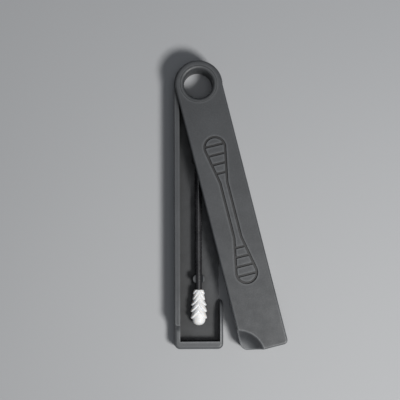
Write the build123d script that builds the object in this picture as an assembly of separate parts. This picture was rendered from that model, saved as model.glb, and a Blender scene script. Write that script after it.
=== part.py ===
from build123d import *
import math
import os

# Reusable swab in a flat pocket case. The lid swings sideways about a hollow rivet at the head.
# Millimetres, +Z up. The origin is on the rivet's axis, at the underside of the tray.
# The case points towards -Y, and "along" is the distance from the rivet's axis in that direction.

# Tray
TRAY_HALF = 8.3
TRAY_END = 90.4
TRAY_CORNER = 1.8
FLOOR = 1.8
WALL_TOP = 9.6
LEFT_WALL = 1.9
END_WALL = 2.6
CUP_TOP = 6.6
CUP_START = 82.3
CUP_ROUND = 2.8
STUB_WALL = 1.1
STUB_START = 73.7
STUB_RISE = 7.8
FLOOR_EDGE = 6.9
RIM_ROUND = 0.3
END_ROUND = 0.9
FOOT_ROUND = 0.5

# Snap clips for the stick
CLIPS = (25.6, 66.4)
CLIP_LONG = 2.6
CLIP_HALF = 2.1
CLIP_TOP = 6.4
CLIP_CORNER = 1.1
CLIP_ROUND = 0.3
CLIP_GROOVE = 1.2
CLIP_MOUTH = 0.95
CLIP_LEAD = 0.55
CLIP_LEAD_CORNER = 135

# Lid
LID_HALF = 7.9
LID_END = 92.8
LID_TOP = 12.0
LID_UNDER = 9.75
LID_CORNER_RIGHT = 1.5
LID_CORNER_LEFT = 2.8
LID_SLANT = 1.1
LID_SLANT_FROM = -0.7
LID_ROUND = 0.6
LID_OPEN = 14.0
POCKET_ROOF = 10.6
POCKET_HALF = 6.0
POCKET_FROM = 12.0
POCKET_TO = 81.5
SKIRT_INNER = 7.05
SKIRT_FOOT = 0.4
SKIRT_HEAD_GAP = 0.3
SKIRT_STUB_GAP = 0.45
LIP_INNER = 91.0

# Thumb scoop in the lid's left end corner: part of a round dish with a shell under it
SCOOP_X = -9.9
SCOOP_ALONG = 93.3
SCOOP_MOUTH = 9.25
SCOOP_FLOOR = 8.0
SCOOP_SLOPE = 60
SCOOP_BEND = 4.0
SCOOP_SHELL = 0.9
SCOOP_ROUND = 0.25

# Engraved double-ended swab sign on the lid
SIGN_DEPTH = 0.5
SIGN_STROKE = 0.8
SIGN_STEM = 1.6
SIGN_FROM = 18.5
SIGN_TO = 70.0
SIGN_BUD = 16.0
SIGN_BUD_HALF = 3.9
SIGN_RIBS = 4

# Hollow rivet in two pieces
BORE = 4.95
SLEEVE_OUTER = 5.85
SLEEVE_FLANGE = 6.9
SLEEVE_FLANGE_THICK = 1.0
SLEEVE_TOP = 10.9
CAP_NECK = 5.4
CAP_NECK_FOOT = 8.0
CAP_FLANGE = 6.2
CAP_LIP = 1.05
LID_BORE = 5.9
LID_COUNTERBORE = 6.28
LID_LEDGE_TOP = 10.8

# Swab
SWAB_Z = 5.05
SWAB_FROM = 9.9
SWAB_TO = 82.3
STICK_RADIUS = 1.15
CORE_RADIUS = 0.8
TIP_LONG = 12.2
TIP_CORE = 9.5
TIP_RIBS = (1.2, 3.3, 5.4, 7.4, 9.5)
TIP_RIB_RADII = (1.95, 2.2, 2.65, 2.8, 2.85)
TIP_VALLEY = 0.35
TIP_COLLAR = 1.5
TIP_END_RADIUS = 2.2

OVERCUT = 1.0


def block(x_from, x_to, along_from, along_to, z_from, z_to):
    """A box between two stations along the case."""
    size = Box(x_to - x_from, along_to - along_from, z_to - z_from)
    centre = ((x_from + x_to) / 2, -(along_from + along_to) / 2, (z_from + z_to) / 2)
    return Pos(*centre) * size


def disc(radius, z_from, z_to):
    """A cylinder on the rivet's axis."""
    return Pos(0, 0, (z_from + z_to) / 2) * Cylinder(radius, z_to - z_from)


def strap(half, end_points, left_corner, right_corner):
    """Plan outline: a round head on the rivet's axis and a straight body with two rounded corners."""
    plan = Circle(half) + make_face(Polyline((half, 0), *end_points, (-half, 0), close=True))
    corners = plan.vertices().group_by(Axis.X)[0].sort_by(Axis.Y)
    plan = fillet(corners[0], left_corner)
    corners = plan.vertices().group_by(Axis.X)[-1].sort_by(Axis.Y)
    return fillet(corners[0], right_corner)


def stub_profile(start, rise_to, gap):
    """Side view of the rounded leading edge of the short right wall, grown by a gap."""
    centre = -(start + STUB_RISE)
    edge = Ellipse(STUB_RISE + gap, rise_to - FLOOR + gap)
    front = Pos(centre, FLOOR) * edge
    back = Pos((centre - TRAY_END) / 2, (rise_to + gap) / 2)
    return front + back * Rectangle(TRAY_END + centre, rise_to + gap)


def stub_solid(x_from, x_to, gap, depth):
    """The short right wall, or with a gap the space that the lid's skirt leaves for it."""
    profile = stub_profile(STUB_START, CUP_TOP, gap)
    solid = extrude(Plane.YZ.offset(x_from) * profile, amount=x_to - x_from)
    reach = block(x_from, x_to, STUB_START - gap, TRAY_END + depth, -gap, CUP_TOP + gap)
    return solid & reach


def tray():
    """Floor, left wall, low end wall, short right wall, head boss and snap clips in one moulding."""
    square_end = ((TRAY_HALF, -TRAY_END), (-TRAY_HALF, -TRAY_END))
    plan = strap(TRAY_HALF, square_end, TRAY_CORNER, TRAY_CORNER)
    body = extrude(plan, amount=WALL_TOP)
    body = fillet(body.edges().group_by(Axis.Z)[0], FOOT_ROUND)
    boss = disc(TRAY_HALF, -OVERCUT, WALL_TOP + OVERCUT)
    wide = TRAY_HALF + OVERCUT
    long = TRAY_END + OVERCUT
    cavity = block(LEFT_WALL - TRAY_HALF, wide, 0, TRAY_END - END_WALL, FLOOR, WALL_TOP + OVERCUT)
    cavity = fillet(cavity.edges().group_by(Axis.Z)[0].group_by(Axis.X)[0], RIM_ROUND)
    low_end = block(-wide, wide, CUP_START, long, CUP_TOP, WALL_TOP + OVERCUT)
    low_end = fillet(low_end.edges().group_by(Axis.Z)[0].group_by(Axis.Y)[-1], CUP_ROUND)
    side = block(FLOOR_EDGE, wide, 0, STUB_START, -OVERCUT, WALL_TOP + OVERCUT)
    stub = stub_solid(TRAY_HALF - STUB_WALL, TRAY_HALF, 0, 0) & body
    body -= (cavity - boss) + low_end
    body -= side - boss
    body += stub
    body = round_rims(body)
    for along in CLIPS:
        body += clip(along)
    body -= disc(SLEEVE_OUTER, -OVERCUT, WALL_TOP + OVERCUT)
    body -= disc(SLEEVE_FLANGE, -OVERCUT, SLEEVE_FLANGE_THICK)
    return body


def round_rims(body):
    """Rounds the top of the end wall's outer edge, then the other rim edges."""
    level = body.edges().filter_by_position(Axis.Z, CUP_TOP, CUP_TOP)
    outer = level.filter_by_position(Axis.Y, -TRAY_END, -TRAY_END + TRAY_CORNER)
    body = fillet(outer, END_ROUND)
    rim = body.edges().filter_by_position(Axis.Z, WALL_TOP, WALL_TOP)
    return fillet(rim, RIM_ROUND)


def clip(along):
    """A pair of prongs that hold the stick in a round groove with a narrower mouth and sloped leads."""
    near = along - CLIP_LONG / 2
    far = along + CLIP_LONG / 2
    pair = block(-CLIP_HALF, CLIP_HALF, near, far, FLOOR - RIM_ROUND, CLIP_TOP)
    pair = fillet(pair.edges().filter_by(Axis.Z), CLIP_CORNER)
    pair = fillet(pair.edges().group_by(Axis.Z)[-1], CLIP_ROUND)
    groove = Pos(0, -along, SWAB_Z) * Rot(90, 0, 0) * Cylinder(CLIP_GROOVE, CLIP_LONG + OVERCUT)
    slot = block(-CLIP_MOUTH, CLIP_MOUTH, near - OVERCUT, far + OVERCUT, FLOOR, CLIP_TOP + OVERCUT)
    lead = Pos(0, CLIP_TOP - CLIP_LEAD) * Trapezoid(
        2 * (CLIP_MOUTH + 2 * CLIP_LEAD),
        2 * CLIP_LEAD,
        CLIP_LEAD_CORNER,
        align=(Align.CENTER, Align.MIN),
    )
    leads = extrude(Plane.XZ.offset(near - OVERCUT) * lead, amount=CLIP_LONG + 2 * OVERCUT)
    return pair - groove - slot - leads


def scoop_dish(grown):
    """The dish that shapes the thumb scoop, or grown by a thickness, the outside of its shell."""
    slope = math.radians(SCOOP_SLOPE)
    foot = SCOOP_FLOOR - grown
    top = LID_TOP + OVERCUT
    mouth = SCOOP_MOUTH + grown / math.sin(slope)
    low = mouth - (LID_TOP - foot) / math.tan(slope)
    high = mouth + OVERCUT / math.tan(slope)
    dish = Pos(SCOOP_X, -SCOOP_ALONG, (foot + top) / 2) * Cone(low, high, top - foot)
    return fillet(dish.edges().group_by(Axis.Z)[0], SCOOP_BEND + grown)


def lid_closed():
    """The lid over the tray; beside the thumb scoop its end slants back towards the left corner."""
    slanted_end = (
        (LID_HALF, -LID_END),
        (LID_SLANT_FROM, -LID_END),
        (-LID_HALF, LID_SLANT - LID_END),
    )
    plan = strap(LID_HALF, slanted_end, LID_CORNER_LEFT, LID_CORNER_RIGHT)
    outline = Pos(0, 0, SKIRT_FOOT) * extrude(plan, amount=LID_TOP - SKIRT_FOOT)
    outline = fillet(outline.edges().group_by(Axis.Z)[-1], LID_ROUND)
    wide = LID_HALF + OVERCUT
    below = block(-wide, wide, -wide, LID_END + OVERCUT, 0, LID_UNDER)
    plate = outline - below
    skirt = outline & block(SKIRT_INNER, wide, 0, LID_END, SKIRT_FOOT, LID_UNDER)
    skirt -= disc(TRAY_HALF + SKIRT_HEAD_GAP, 0, LID_UNDER)
    skirt -= stub_solid(0, wide, SKIRT_STUB_GAP, LIP_INNER - TRAY_END)
    lip = outline & block(-wide, wide, LIP_INNER, LID_END, SKIRT_FOOT, LID_UNDER)
    shell = (outline & scoop_dish(SCOOP_SHELL)) & below
    pocket = block(-POCKET_HALF, SKIRT_INNER, POCKET_FROM, POCKET_TO, LID_UNDER - OVERCUT, POCKET_ROOF)
    body = plate - pocket
    body = body + skirt + lip + shell
    body -= scoop_dish(0)
    body = round_scoop(body)
    body -= disc(LID_BORE, 0, LID_TOP + OVERCUT)
    body -= disc(LID_COUNTERBORE, LID_LEDGE_TOP, LID_TOP + OVERCUT)
    return body - sign()


def round_scoop(body):
    """Rounds the sharp edge where the thumb scoop meets the lid's top."""
    centre = Vector(SCOOP_X, -SCOOP_ALONG, LID_TOP)
    level = body.edges().filter_by_position(Axis.Z, LID_TOP, LID_TOP)
    edge = [line for line in level if (line.position_at(0.5) - centre).length < SCOOP_MOUTH + SCOOP_ROUND]
    return fillet(edge, SCOOP_ROUND)


def bud_plan(neck, direction, inset):
    """Plan of one bud of the sign: as narrow as the stem at its neck, wide and round at its far end."""
    near = Pos(0, -neck) * Circle(SIGN_STEM - inset)
    far = Pos(0, -(neck + direction * (SIGN_BUD - SIGN_BUD_HALF))) * Circle(SIGN_BUD_HALF - inset)
    return make_hull(near.edges() + far.edges())


def swab_plan(necks, inset):
    """Plan of the sign's whole swab, drawn in from its outline by an inset."""
    (near, near_direction), (far, far_direction) = necks
    stem = Pos(0, -(near + far) / 2) * Rectangle(2 * (SIGN_STEM - inset), far - near)
    return stem + bud_plan(near, near_direction, inset) + bud_plan(far, far_direction, inset)


def sign():
    """Sunk lines of a plain double-ended swab: the outline of a stem and two buds, and their ribs."""
    necks = ((SIGN_FROM + SIGN_BUD, -1), (SIGN_TO - SIGN_BUD, 1))
    whole = swab_plan(necks, 0)
    lines = whole - swab_plan(necks, SIGN_STROKE)
    for neck, direction in necks:
        for rib in range(1, SIGN_RIBS + 1):
            station = neck + direction * rib * SIGN_BUD / (SIGN_RIBS + 1)
            bar = Pos(0, -station) * Rectangle(2 * SIGN_BUD_HALF, SIGN_STROKE)
            lines += bar & whole
    return Pos(0, 0, LID_TOP - SIGN_DEPTH) * extrude(lines, amount=SIGN_DEPTH + OVERCUT)


def lid():
    """The lid as it stands at rest, part open."""
    return Rot(0, 0, LID_OPEN) * lid_closed()


def turned(points):
    """A solid of revolution about the rivet's axis, from a closed profile of radius and height."""
    return revolve(Plane.XZ * make_face(Polyline(*points, close=True)), Axis.Z)


def rivet_sleeve():
    """Flanged sleeve pressed up into the tray, with a counterbore for the cap's neck."""
    return turned([
        (BORE, 0),
        (SLEEVE_FLANGE, 0),
        (SLEEVE_FLANGE, SLEEVE_FLANGE_THICK),
        (SLEEVE_OUTER, SLEEVE_FLANGE_THICK),
        (SLEEVE_OUTER, SLEEVE_TOP),
        (CAP_NECK, SLEEVE_TOP),
        (CAP_NECK, CAP_NECK_FOOT),
        (BORE, CAP_NECK_FOOT),
    ])


def rivet_cap():
    """Collar whose neck is pressed into the sleeve and whose flange holds the lid down."""
    cap = turned([
        (BORE, CAP_NECK_FOOT),
        (CAP_NECK, CAP_NECK_FOOT),
        (CAP_NECK, SLEEVE_TOP),
        (CAP_FLANGE, SLEEVE_TOP),
        (CAP_FLANGE, LID_TOP),
        (BORE, LID_TOP),
    ])
    inner = cap.edges().group_by(Axis.Z)[-1].filter_by(GeomType.CIRCLE).sort_by(SortBy.RADIUS)[0]
    return fillet(inner, CAP_LIP)


def along_swab(profile):
    """A solid of revolution about the swab's axis, from a profile of radius and distance along."""
    start = Plane(origin=(0, 0, SWAB_Z), x_dir=(1, 0, 0), z_dir=(0, 0, -1))
    axis = Axis((0, 0, SWAB_Z), (0, 1, 0))
    return revolve(start * make_face(profile), axis)


def swab_stick():
    """The stick, with a slimmer core inside each tip."""
    core_from = SWAB_FROM + TIP_LONG - TIP_CORE
    core_to = SWAB_TO - TIP_LONG + TIP_CORE
    body_from = SWAB_FROM + TIP_LONG
    body_to = SWAB_TO - TIP_LONG
    return along_swab(Polyline(
        (0, core_from),
        (CORE_RADIUS, core_from),
        (CORE_RADIUS, body_from),
        (STICK_RADIUS, body_from),
        (STICK_RADIUS, body_to),
        (CORE_RADIUS, body_to),
        (CORE_RADIUS, core_to),
        (0, core_to),
        close=True,
    ))


def swab_tip(stick_end, direction):
    """A soft tip with round ribs and a domed end, moulded over the stick's core."""
    points = [(CORE_RADIUS, 0), (TIP_COLLAR, 0)]
    for station, radius in zip(TIP_RIBS, TIP_RIB_RADII):
        points.append((radius, station))
        points.append((radius - TIP_VALLEY, station + TIP_VALLEY))
    shoulder = TIP_LONG - TIP_END_RADIUS
    stations = [(radius, stick_end + direction * station) for radius, station in points]
    dome_from = (TIP_END_RADIUS, stick_end + direction * shoulder)
    dome_mid = stick_end + direction * (shoulder + TIP_END_RADIUS * math.sin(math.pi / 4))
    pole = stick_end + direction * TIP_LONG
    core_end = stick_end + direction * TIP_CORE
    side = Polyline(*stations, dome_from)
    dome = ThreePointArc(dome_from, (TIP_END_RADIUS * math.cos(math.pi / 4), dome_mid), (0, pole))
    inside = Polyline((0, pole), (0, core_end), (CORE_RADIUS, core_end), stations[0])
    return along_swab(side + dome + inside)


def main():
    """Writes one STEP file per piece."""
    pieces = {
        "tray": tray(),
        "lid": lid(),
        "rivet_sleeve": rivet_sleeve(),
        "rivet_cap": rivet_cap(),
        "swab_stick": swab_stick(),
        "swab_tip_upper": swab_tip(SWAB_FROM + TIP_LONG, -1),
        "swab_tip_lower": swab_tip(SWAB_TO - TIP_LONG, 1),
    }
    os.makedirs("parts", exist_ok=True)
    for name, piece in pieces.items():
        export_step(piece, f"parts/{name}.step")
        print(name, round(piece.volume, 1), "mm3")


main()
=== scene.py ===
import bmesh
import bpy
import math
from mathutils import Euler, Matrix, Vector


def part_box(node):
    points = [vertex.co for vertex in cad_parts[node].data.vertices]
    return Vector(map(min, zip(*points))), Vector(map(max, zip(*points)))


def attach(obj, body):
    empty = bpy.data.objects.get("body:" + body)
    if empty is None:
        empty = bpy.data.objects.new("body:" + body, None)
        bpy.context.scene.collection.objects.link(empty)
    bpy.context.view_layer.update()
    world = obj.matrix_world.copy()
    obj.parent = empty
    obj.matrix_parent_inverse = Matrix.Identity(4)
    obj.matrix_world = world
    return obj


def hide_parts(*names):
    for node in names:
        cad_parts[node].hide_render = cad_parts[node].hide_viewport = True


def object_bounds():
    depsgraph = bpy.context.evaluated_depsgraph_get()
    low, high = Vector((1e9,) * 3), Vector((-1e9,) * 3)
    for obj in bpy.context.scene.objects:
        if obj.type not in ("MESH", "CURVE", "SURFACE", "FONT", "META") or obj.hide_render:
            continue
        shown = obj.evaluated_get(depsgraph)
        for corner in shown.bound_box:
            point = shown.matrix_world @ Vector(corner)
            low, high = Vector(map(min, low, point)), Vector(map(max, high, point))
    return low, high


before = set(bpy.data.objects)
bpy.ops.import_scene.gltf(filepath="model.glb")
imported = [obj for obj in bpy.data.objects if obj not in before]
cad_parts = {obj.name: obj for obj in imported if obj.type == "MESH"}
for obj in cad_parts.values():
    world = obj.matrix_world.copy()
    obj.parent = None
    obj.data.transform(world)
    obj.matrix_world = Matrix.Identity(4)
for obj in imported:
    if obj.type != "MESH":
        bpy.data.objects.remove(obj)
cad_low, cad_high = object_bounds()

MM = 0.001

# Camera: nearly straight down, a forearm's length above the lid, turned by degrees
CAMERA_AT = Vector((-13.2, -53.5, 412.0)) * MM
CAMERA_TURN = (2.0, -1.93, -0.23)
LENS = 106.5
SENSOR = 36.0
NEAREST = 0.01
FARTHEST = 20.0

# Lights, in metres and watts: the point they aim at, then each lamp and the even sky
LIGHT_AIM = (0.01, -0.045, 0.0)
MAIN_LIGHT = {"at": (0.19, -0.21, 0.42), "size": 0.1, "power": 1.92, "colour": (1.0, 0.99, 0.97)}
TOP_LIGHT = {"at": (0.01, -0.045, 0.8), "size": 0.3, "power": 0.55, "colour": (0.95, 0.97, 1.0)}
SKY_COLOUR = (0.86, 0.92, 1.0, 1.0)
SKY_STRENGTH = 0.1

# Floor, in metres
FLOOR_SIZE = 3.0
FLOOR_TONES = ((0.445, 0.455, 0.472), (0.482, 0.49, 0.503))
FLOOR_ROUGH = 0.8

# Lid: its plate's own frame, its sign and its thumb scoop, in millimetres and degrees
LID_OPEN = 14.0
SIGN_HALF = 4.4
SIGN_FROM = 17.5
SIGN_TO = 71.0
SIGN_FOOT = 11.3
SIGN_LEVEL = 11.93
SIGN_DARK = (0.016, 0.016, 0.017)
SIGN_SOFT = 0.1
SIGN_SOFT_DEEP = 0.03
SCOOP_X = -9.9
SCOOP_ALONG = 93.3
SCOOP_FLAT = 5.0
SCOOP_FADE = 2.2
SCOOP_FOOT = 7.9
SCOOP_SOFT_DEEP = 0.05
SHEEN_PALE = 0.4
POLISH_SHINE = 0.12

# Tray: the low rim round its end, where a highlight is painted, in millimetres
CUP_START = 82.3
RIM_TOP = 6.7
RIM_FOOT = 5.9
RIM_SOFT = 0.3
RIM_RISE = (-1.0, 2.0)
RIM_PALE = 0.22

# Moulded plastic: tones as dark, light and pale, the pale one for specks, worn edges and painted highlights,
# and shares of one tone in another
CASE_TONES = ((0.0452, 0.0485, 0.0532), (0.0592, 0.063, 0.0688), (0.205, 0.213, 0.222))
LID_TONES = ((0.0416, 0.0446, 0.049), (0.0545, 0.058, 0.0633), (0.2, 0.208, 0.217))
RIVET_TONES = ((0.0442, 0.0473, 0.051), (0.055, 0.0585, 0.0622), (0.18, 0.186, 0.193))
SPECK_START = 0.45
SPECK_FULL = 0.8
SPECK_PALE = 0.14
GLOSSIEST = -0.05
DULLEST = 0.06
SHADE_SHARE = 0.3
WEAR_HIGHLIGHT_LEAST = 0.6
RUB_SHINE = 0.2
COARSE_SHARE = 0.6
SOFT_EDGE = 0.15
SOFT_EDGE_SAMPLES = 6

# Edge wear and painted edge highlight: how far the look into the solid goes, in millimetres, the openness at
# which they start and are full, and the stretch of the case over which they grow to full, in millimetres from
# the rivet
EDGE_REACH = 0.8
EDGE_NONE = 0.97
EDGE_FULL = 0.78
HIGHLIGHT_FROM = 70.0
HIGHLIGHT_TO = 86.0
HIGHLIGHT_LEAST = 0.25

# Inside corners: the openness at which painted shade starts and at which it is full
CREVICE_NONE = 0.85
CREVICE_FULL = 0.45
OPENNESS_SAMPLES = 8

# Stick and silicone, reaches in millimetres
STICK_TONES = ((0.02, 0.02, 0.022), (0.032, 0.032, 0.035))
SILICONE_TONES = ((0.93, 0.94, 0.955), (0.95, 0.955, 0.965))
SILICONE_SHADE = (0.6, 0.62, 0.65)
SILICONE_SHADE_REACH = 0.5
SILICONE_GLOW = 0.7
SILICONE_GLOW_REACH = 0.7
SILICONE_GLOW_COLOUR = (1.0, 0.95, 0.9)

# Swab tips: each piece, the CAD node it stands for and the way it points along Y
TIPS = (("ribbed_tip_lower", "swab_tip_lower", -1), ("ribbed_tip_upper", "swab_tip_upper", 1))

# Shape of a tip: stations counted from the stick's end of the tip, in millimetres
TIP_LONG = 12.2
TIP_AROUND = 144
TIP_ROWS = 220
TIP_LAST_GAP = 0.02
TIP_EDGE = 0.3
TIP_EDGE_DROP = 0.6
DOME_LONG = 2.15
DOME_RADIUS = 2.24
DOME_POWER = 2.4
RIDGE_STATIONS = (-2.5, -0.5, 1.4, 3.3, 5.25, 7.4, 9.7)
CORE_PROFILE = ((0.0, 1.6), (1.4, 1.75), (3.3, 1.88), (5.2, 2.1), (7.3, 2.22), (9.7, 2.25))
RIDGE_HEIGHTS = ((0.0, 0.3), (3.6, 0.3), (5.0, 0.6), (9.7, 0.6))
CHEVRON_RISE = 2.7
CHEVRON_LEAST = 0.62
RIDGE_BACK = 0.24
RIDGE_SWELL = 0.6
LAST_RIDGE_FALL = 0.45
STEM_HOLE = 0.8
STEM_HOLE_DEEP = 9.5


def new_material(name):
    """A node material with its shader and tree."""
    material = bpy.data.materials.new(name)
    material.use_nodes = True
    return material, material.node_tree.nodes["Principled BSDF"], material.node_tree


def noise(tree, scale, detail, rough=0.5):
    """A noise texture over the object's own coordinates, in cycles per millimetre."""
    coords = tree.nodes.new("ShaderNodeTexCoord")
    node = tree.nodes.new("ShaderNodeTexNoise")
    node.inputs["Scale"].default_value = scale / MM
    node.inputs["Detail"].default_value = detail
    node.inputs["Roughness"].default_value = rough
    tree.links.new(coords.outputs["Object"], node.inputs["Vector"])
    return node.outputs["Fac"]


def spread(tree, value, low, high, to_low=0.0, to_high=1.0):
    """Maps a value from one range to another and stops at its ends; low may be the larger one."""
    node = tree.nodes.new("ShaderNodeMapRange")
    for socket, number in zip(("From Min", "From Max", "To Min", "To Max"), (low, high, to_low, to_high)):
        node.inputs[socket].default_value = number
    tree.links.new(value, node.inputs["Value"])
    return node.outputs["Result"]


def wander(tree, scale, detail, swing, low=0.0, high=1.0, rough=0.5):
    """A value that drifts between two levels over the surface; a smaller swing has harder borders."""
    value = noise(tree, scale, detail, rough)
    return spread(tree, value, 0.5 - swing, 0.5 + swing, low, high)


def math_node(tree, operation, *values):
    """One math step on one or two values, each a socket or a number."""
    node = tree.nodes.new("ShaderNodeMath")
    node.operation = operation
    for socket, value in zip(node.inputs, values):
        if isinstance(value, (int, float)):
            socket.default_value = value
        else:
            tree.links.new(value, socket)
    return node.outputs["Value"]


def times(tree, first, *others):
    """The product of several values, each a socket or a number."""
    product = first
    for other in others:
        product = math_node(tree, "MULTIPLY", product, other)
    return product


def mix_colours(tree, factor, first, second):
    """Mixes two colours, each a socket or three numbers."""
    node = tree.nodes.new("ShaderNodeMix")
    node.data_type = "RGBA"
    colour_sockets = [s for s in node.inputs if s.type == "RGBA"]
    tree.links.new(factor, node.inputs["Factor"])
    for socket, value in zip(colour_sockets, (first, second)):
        if isinstance(value, tuple):
            socket.default_value = (*value, 1.0)
        else:
            tree.links.new(value, socket)
    return [s for s in node.outputs if s.type == "RGBA"][0]


def place(tree, turn=0.0):
    """X, Y and Z at rest, in metres, in a frame turned about the rivet's axis by some degrees."""
    coords = tree.nodes.new("ShaderNodeTexCoord")
    turned = tree.nodes.new("ShaderNodeMapping")
    turned.inputs["Rotation"].default_value = (0.0, 0.0, math.radians(-turn))
    tree.links.new(coords.outputs["Object"], turned.inputs["Vector"])
    parts = tree.nodes.new("ShaderNodeSeparateXYZ")
    tree.links.new(turned.outputs["Vector"], parts.inputs["Vector"])
    return parts.outputs


def openness(tree, reach, inside):
    """How open the near surroundings are, from 0 to 1, seen from the surface outwards or into the solid."""
    node = tree.nodes.new("ShaderNodeAmbientOcclusion")
    node.samples = OPENNESS_SAMPLES
    node.inside = inside
    node.inputs["Distance"].default_value = reach * MM
    return node.outputs["AO"]


def edge_mask(tree):
    """White along the outer edges, where a short look into the solid meets another face."""
    return spread(tree, openness(tree, EDGE_REACH, True), EDGE_NONE, EDGE_FULL)


def painted_shade_mask(tree, reach):
    """White in grooves and inside corners, where the near surroundings are blocked; it marks where shade is
    painted in.
    """
    return spread(tree, openness(tree, reach, False), CREVICE_NONE, CREVICE_FULL)


def end_highlight(tree):
    """White at the free end of the case, nearest the main light, so the edges' wear and painted highlight are
    full there and weaker towards the head.
    """
    return spread(tree, place(tree)["Y"], -HIGHLIGHT_FROM * MM, -HIGHLIGHT_TO * MM, HIGHLIGHT_LEAST, 1.0)


def bump(tree, height, distance, strength, normal=None):
    """Adds small relief, its depth in millimetres, to a normal or to the plain surface."""
    node = tree.nodes.new("ShaderNodeBump")
    node.inputs["Distance"].default_value = distance * MM
    node.inputs["Strength"].default_value = strength
    tree.links.new(height, node.inputs["Height"])
    if normal is not None:
        tree.links.new(normal, node.inputs["Normal"])
    return node.outputs["Normal"]


def within(tree, value, low, high, soft):
    """White where a value in metres lies between two limits in millimetres, with soft ends."""
    rise = spread(tree, value, (low - soft) * MM, low * MM)
    fall = spread(tree, value, (high + soft) * MM, high * MM)
    return times(tree, rise, fall)


def sign_lines(tree):
    """White in the sunk lines of the lid's sign, which are coloured near black."""
    plate = place(tree, LID_OPEN)
    across = within(tree, plate["X"], -SIGN_HALF, SIGN_HALF, SIGN_SOFT)
    along = within(tree, plate["Y"], -SIGN_TO, -SIGN_FROM, SIGN_SOFT)
    deep = within(tree, plate["Z"], SIGN_FOOT, SIGN_LEVEL, SIGN_SOFT_DEEP)
    return times(tree, across, along, deep)


def scoop_sheen(tree):
    """White over the floor of the thumb scoop, where a sheen is painted in and the roughness is lowered."""
    plate = place(tree, LID_OPEN)
    side = math_node(tree, "SUBTRACT", plate["X"], SCOOP_X * MM)
    ahead = math_node(tree, "ADD", plate["Y"], SCOOP_ALONG * MM)
    square = math_node(tree, "ADD", times(tree, side, side), times(tree, ahead, ahead))
    reach = math_node(tree, "SQRT", square)
    near = spread(tree, reach, (SCOOP_FLAT + SCOOP_FADE) * MM, SCOOP_FLAT * MM)
    return times(tree, near, within(tree, plate["Z"], SCOOP_FOOT, SIGN_LEVEL, SCOOP_SOFT_DEEP))


def rim_highlight(tree):
    """White on the low rim round the tray's end, where a highlight is painted in."""
    spot = place(tree)
    level = within(tree, spot["Z"], RIM_FOOT, RIM_TOP, RIM_SOFT)
    start, full = (-(CUP_START + offset) * MM for offset in RIM_RISE)
    return times(tree, level, spread(tree, spot["Y"], start, full))


def lid_marks(tree, colour, gloss, pale):
    """Adds the sign's dark lines and the scoop's painted sheen to a colour, and lowers the scoop's roughness.
    """
    signed = mix_colours(tree, sign_lines(tree), colour, SIGN_DARK)
    sheen = scoop_sheen(tree)
    # Painted sheen: the scoop's floor lightened towards the pale tone
    with_sheen = mix_colours(tree, times(tree, sheen, SHEEN_PALE), signed, pale)
    return with_sheen, math_node(tree, "SUBTRACT", gloss, times(tree, sheen, POLISH_SHINE))


def tray_marks(tree, colour, gloss, pale):
    """Adds a painted highlight on the low rim round the tray's end to a colour, and leaves its roughness."""
    return mix_colours(tree, times(tree, rim_highlight(tree), RIM_PALE), colour, pale), gloss


def moulded_plastic(name, tones, rough, grain, shade_reach, wear_and_highlight, marks=None):
    """Charcoal plastic from a spark-eroded mould: fine grain, faint blotches, edges lightened by wear and a
    painted highlight, painted shade in inside corners, its own marks.
    """
    dark, light, pale = tones
    material, shader, tree = new_material(name)
    base = mix_colours(tree, wander(tree, scale=0.09, detail=3.0, swing=0.15), dark, light)
    fleck = noise(tree, scale=2.6, detail=2.0, rough=0.6)
    speck = spread(tree, fleck, SPECK_START, SPECK_FULL, 0.0, SPECK_PALE)
    speckled = mix_colours(tree, speck, base, pale)
    patchy = wander(tree, scale=0.6, detail=4.0, swing=0.12, low=WEAR_HIGHLIGHT_LEAST, rough=0.65)
    # Edges lightened partly as wear and partly as a painted highlight, strongest at the free end near the
    # main light
    wear_and_highlight_mask = times(tree, edge_mask(tree), patchy, end_highlight(tree), wear_and_highlight)
    wear_and_highlight_colour = mix_colours(tree, wear_and_highlight_mask, speckled, pale)
    # Painted shade: grooves and inside corners darkened towards a share of the dark tone
    shaded = tuple(SHADE_SHARE * channel for channel in dark)
    colour = mix_colours(tree, painted_shade_mask(tree, shade_reach), wear_and_highlight_colour, shaded)
    dull = wander(tree, scale=0.35, detail=3.0, swing=0.2, low=rough + GLOSSIEST, high=rough + DULLEST)
    gloss = math_node(tree, "SUBTRACT", dull, times(tree, wear_and_highlight_mask, RUB_SHINE))
    if marks is not None:
        colour, gloss = marks(tree, colour, gloss, pale)
    tree.links.new(colour, shader.inputs["Base Color"])
    tree.links.new(gloss, shader.inputs["Roughness"])
    shader.inputs["Specular IOR Level"].default_value = 0.5
    fine = noise(tree, scale=3.2, detail=2.0, rough=0.55)
    coarse = noise(tree, scale=1.1, detail=1.0)
    relief = math_node(tree, "ADD", fine, times(tree, coarse, COARSE_SHARE))
    soft = tree.nodes.new("ShaderNodeBevel")
    soft.samples = SOFT_EDGE_SAMPLES
    soft.inputs["Radius"].default_value = SOFT_EDGE * MM
    normal = bump(tree, relief, distance=grain, strength=0.55, normal=soft.outputs["Normal"])
    tree.links.new(normal, shader.inputs["Normal"])
    return material


def stick_plastic():
    """Black moulded stick: smooth and rather shiny, with faint blotches."""
    material, shader, tree = new_material("stick_plastic")
    colour = mix_colours(tree, wander(tree, scale=0.25, detail=2.0, swing=0.15), *STICK_TONES)
    tree.links.new(colour, shader.inputs["Base Color"])
    gloss = wander(tree, scale=1.5, detail=3.0, swing=0.2, low=0.2, high=0.3)
    tree.links.new(gloss, shader.inputs["Roughness"])
    shader.inputs["Specular IOR Level"].default_value = 0.45
    normal = bump(tree, noise(tree, scale=2.0, detail=2.0), distance=0.01, strength=0.2)
    tree.links.new(normal, shader.inputs["Normal"])
    return material


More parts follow.
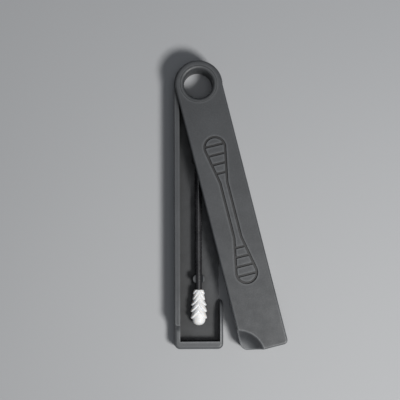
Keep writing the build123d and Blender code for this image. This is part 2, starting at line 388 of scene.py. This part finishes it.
def tip_silicone():
    """White silicone: soft, slightly see-through, with a dull fine surface and painted shade in the grooves
    between its ridges.
    """
    material, shader, tree = new_material("tip_silicone")
    base = mix_colours(tree, wander(tree, scale=0.7, detail=3.0, swing=0.15), *SILICONE_TONES)
    # Painted shade in the grooves between the ridges
    colour = mix_colours(tree, painted_shade_mask(tree, SILICONE_SHADE_REACH), base, SILICONE_SHADE)
    tree.links.new(colour, shader.inputs["Base Color"])
    gloss = wander(tree, scale=2.0, detail=2.0, swing=0.2, low=0.46, high=0.58)
    tree.links.new(gloss, shader.inputs["Roughness"])
    shader.inputs["Subsurface Weight"].default_value = SILICONE_GLOW
    shader.inputs["Subsurface Radius"].default_value = SILICONE_GLOW_COLOUR
    shader.inputs["Subsurface Scale"].default_value = SILICONE_GLOW_REACH * MM
    normal = bump(tree, noise(tree, scale=4.0, detail=2.0), distance=0.01, strength=0.35)
    tree.links.new(normal, shader.inputs["Normal"])
    return material


def curve_at(points, station):
    """Straight-line reading of a profile of (station, radius) points."""
    for (s0, r0), (s1, r1) in zip(points, points[1:]):
        if station <= s1:
            return r0 + (r1 - r0) * max(0.0, (station - s0) / (s1 - s0))
    return points[-1][1]


def ease(share):
    """Smooth step from 0 to 1."""
    share = min(1.0, max(0.0, share))
    return share * share * (3 - 2 * share)


def fin_height(side_station):
    """Saw-tooth height of the ridges, 0 to 1: a slow rise towards the tip's end and a steeper back."""
    for start, end in zip(RIDGE_STATIONS, RIDGE_STATIONS[1:]):
        if start <= side_station < end:
            share = (side_station - start) / (end - start)
            if share < RIDGE_BACK:
                return 1.0 - ease(share / RIDGE_BACK)
            return ((share - RIDGE_BACK) / (1 - RIDGE_BACK)) ** RIDGE_SWELL
    return 1.0 - ease((side_station - RIDGE_STATIONS[-1]) / LAST_RIDGE_FALL)


def tip_radius(station, angle):
    """Radius of the tip's outer surface; the ridges are chevrons, with their points towards the stick."""
    across = abs(math.sin(angle))
    side_station = station + CHEVRON_RISE * (1.0 - across)
    share = CHEVRON_LEAST + (1.0 - CHEVRON_LEAST) * across
    radius = curve_at(CORE_PROFILE, station)
    radius += share * curve_at(RIDGE_HEIGHTS, station) * fin_height(side_station)
    if station > TIP_LONG - DOME_LONG:
        along = (station - TIP_LONG + DOME_LONG) / DOME_LONG
        radius = min(radius, DOME_RADIUS * math.sqrt(max(0.0, 1.0 - along ** DOME_POWER)))
    if station < TIP_EDGE:
        radius -= TIP_EDGE_DROP * TIP_EDGE * (1 - math.sqrt(1 - (1 - station / TIP_EDGE) ** 2))
    return radius


def swab_tip(name, node, direction):
    """A ribbed tip in place of a plain CAD tip, with the hole for the stick's core."""
    low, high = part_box(node)
    axis_x = (low.x + high.x) / 2
    axis_z = (low.z + high.z) / 2
    stick_end = high.y if direction < 0 else low.y
    verts = []
    faces = []

    def add_ring(station, radius_at):
        for step in range(TIP_AROUND):
            angle = 2 * math.pi * step / TIP_AROUND
            radius = radius_at(angle)
            x = axis_x + radius * MM * math.sin(angle)
            z = axis_z + radius * MM * math.cos(angle)
            verts.append((x, stick_end + direction * station * MM, z))

    add_ring(STEM_HOLE_DEEP, lambda angle: STEM_HOLE)
    add_ring(0.0, lambda angle: STEM_HOLE)
    for row in range(TIP_ROWS):
        station = (TIP_LONG - TIP_LAST_GAP) * row / (TIP_ROWS - 1)
        add_ring(station, lambda angle: tip_radius(station, angle))
    last = len(verts) - TIP_AROUND
    for first in range(0, last, TIP_AROUND):
        for step in range(TIP_AROUND):
            a = first + step
            b = first + (step + 1) % TIP_AROUND
            faces.append((a, b, b + TIP_AROUND, a + TIP_AROUND))
    inner_pole = len(verts)
    verts.append((axis_x, stick_end + direction * STEM_HOLE_DEEP * MM, axis_z))
    outer_pole = len(verts)
    verts.append((axis_x, stick_end + direction * TIP_LONG * MM, axis_z))
    for step in range(TIP_AROUND):
        after = (step + 1) % TIP_AROUND
        faces.append((inner_pole, after, step))
        faces.append((outer_pole, last + step, last + after))
    mesh = bpy.data.meshes.new(name)
    mesh.from_pydata(verts, [], faces)
    mesh.validate()
    mesh.polygons.foreach_set("use_smooth", [True] * len(mesh.polygons))
    mesh.update()
    piece = bpy.data.objects.new(name, mesh)
    bpy.context.scene.collection.objects.link(piece)
    return piece


def face_outwards(piece):
    """Turns every face of a closed mesh outwards."""
    shape = bmesh.new()
    shape.from_mesh(piece.data)
    bmesh.ops.recalc_face_normals(shape, faces=shape.faces)
    shape.to_mesh(piece.data)
    shape.free()


def floor():
    """Plain pale floor under the object."""
    bpy.ops.mesh.primitive_plane_add(size=FLOOR_SIZE, location=(0, 0, cad_low.z))
    plane = bpy.context.object
    plane.name = "floor"
    material, shader, tree = new_material("floor_paint")
    colour = mix_colours(tree, wander(tree, scale=0.004, detail=2.0, swing=0.2), *FLOOR_TONES)
    tree.links.new(colour, shader.inputs["Base Color"])
    shader.inputs["Roughness"].default_value = FLOOR_ROUGH
    plane.data.materials.append(material)


def area_light(name, at, size, power, colour):
    """A soft square light aimed at the middle of the case."""
    data = bpy.data.lights.new(name, "AREA")
    data.size = size
    data.energy = power
    data.color = colour
    lamp = bpy.data.objects.new(name, data)
    lamp.location = at
    lamp.rotation_euler = (Vector(LIGHT_AIM) - Vector(at)).to_track_quat("-Z", "Y").to_euler()
    bpy.context.scene.collection.objects.link(lamp)


def lights():
    """A main light from the lower right, a broad soft light overhead and a weak even sky."""
    area_light("main_light", **MAIN_LIGHT)
    area_light("top_light", **TOP_LIGHT)
    world = bpy.data.worlds.new("studio")
    world.use_nodes = True
    sky = world.node_tree.nodes["Background"]
    sky.inputs["Color"].default_value = SKY_COLOUR
    sky.inputs["Strength"].default_value = SKY_STRENGTH
    bpy.context.scene.world = world
    bpy.context.scene.view_settings.view_transform = "Standard"


def camera():
    """A long lens that looks down on the case."""
    data = bpy.data.cameras.new("camera")
    data.lens = LENS
    data.sensor_width = SENSOR
    data.clip_start = NEAREST
    data.clip_end = FARTHEST
    view = bpy.data.objects.new("camera", data)
    view.location = CAMERA_AT
    view.rotation_euler = Euler([math.radians(turn) for turn in CAMERA_TURN])
    bpy.context.scene.collection.objects.link(view)
    bpy.context.scene.camera = view


def dress(node, material):
    """Gives a CAD node its finished material."""
    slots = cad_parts[node].data.materials
    for index in range(len(slots)):
        slots[index] = material


def plastics():
    """Dresses the tray, the lid and the rivet's two pieces."""
    rivet = moulded_plastic("rivet_plastic", RIVET_TONES, rough=0.46, grain=0.018, shade_reach=0.9, wear_and_highlight=1.0)
    # The tray's long reach paints shade over its whole inside, deepest in its corners
    case = moulded_plastic(
        "case_plastic", CASE_TONES, rough=0.5, grain=0.03, shade_reach=8.0, wear_and_highlight=0.6, marks=tray_marks
    )
    lid = moulded_plastic(
        "lid_plastic", LID_TONES, rough=0.5, grain=0.03, shade_reach=0.9, wear_and_highlight=1.0, marks=lid_marks
    )
    dress("tray", case)
    dress("lid", lid)
    dress("rivet_sleeve", rivet)
    dress("rivet_cap", rivet)


def tips():
    """Puts a ribbed silicone tip on each end of the stick."""
    silicone = tip_silicone()
    for name, node, direction in TIPS:
        tip = swab_tip(name, node, direction)
        face_outwards(tip)
        tip.data.materials.append(silicone)
        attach(tip, "swab")
        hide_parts(node)


def main():
    plastics()
    dress("swab_stick", stick_plastic())
    tips()
    floor()
    lights()
    camera()


main()
